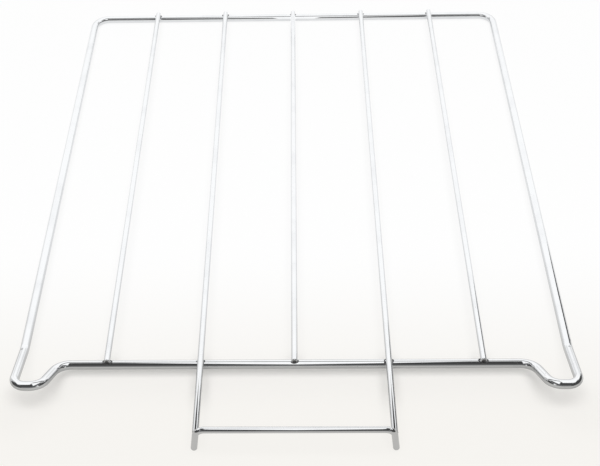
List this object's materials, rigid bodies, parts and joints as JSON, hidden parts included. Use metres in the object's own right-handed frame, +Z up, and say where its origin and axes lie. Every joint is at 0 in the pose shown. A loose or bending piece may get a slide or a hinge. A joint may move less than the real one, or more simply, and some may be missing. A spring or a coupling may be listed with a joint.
{
  "type": "oven shelf rack",
  "caption": "Chromed wire oven shelf: a bent perimeter frame with up-turned front ears, straight shelf bars and a front foot bar with down-turned feet.",
  "frame": {"origin": "under the middle of the rack's box, level with the undersides of its two feet", "axes": "+X to the right, +Y from the foot bar to the back bar, +Z up out of the shelf's plane"},
  "size_m": [0.358, 0.455, 0.021],
  "materials": {
    "frame_wire": "bright chrome plate on thick drawn steel wire",
    "bar_wire": "bright chrome plate on thin drawn steel wire"
  },
  "bodies": {
    "root": {"perimeter_frame": "frame_wire", "short_bar_left": "bar_wire", "short_bar_centre": "bar_wire", "short_bar_right": "bar_wire", "long_bar_left": "bar_wire", "long_bar_right": "bar_wire", "foot_bar": "bar_wire"}
  },
  "joints": []
}
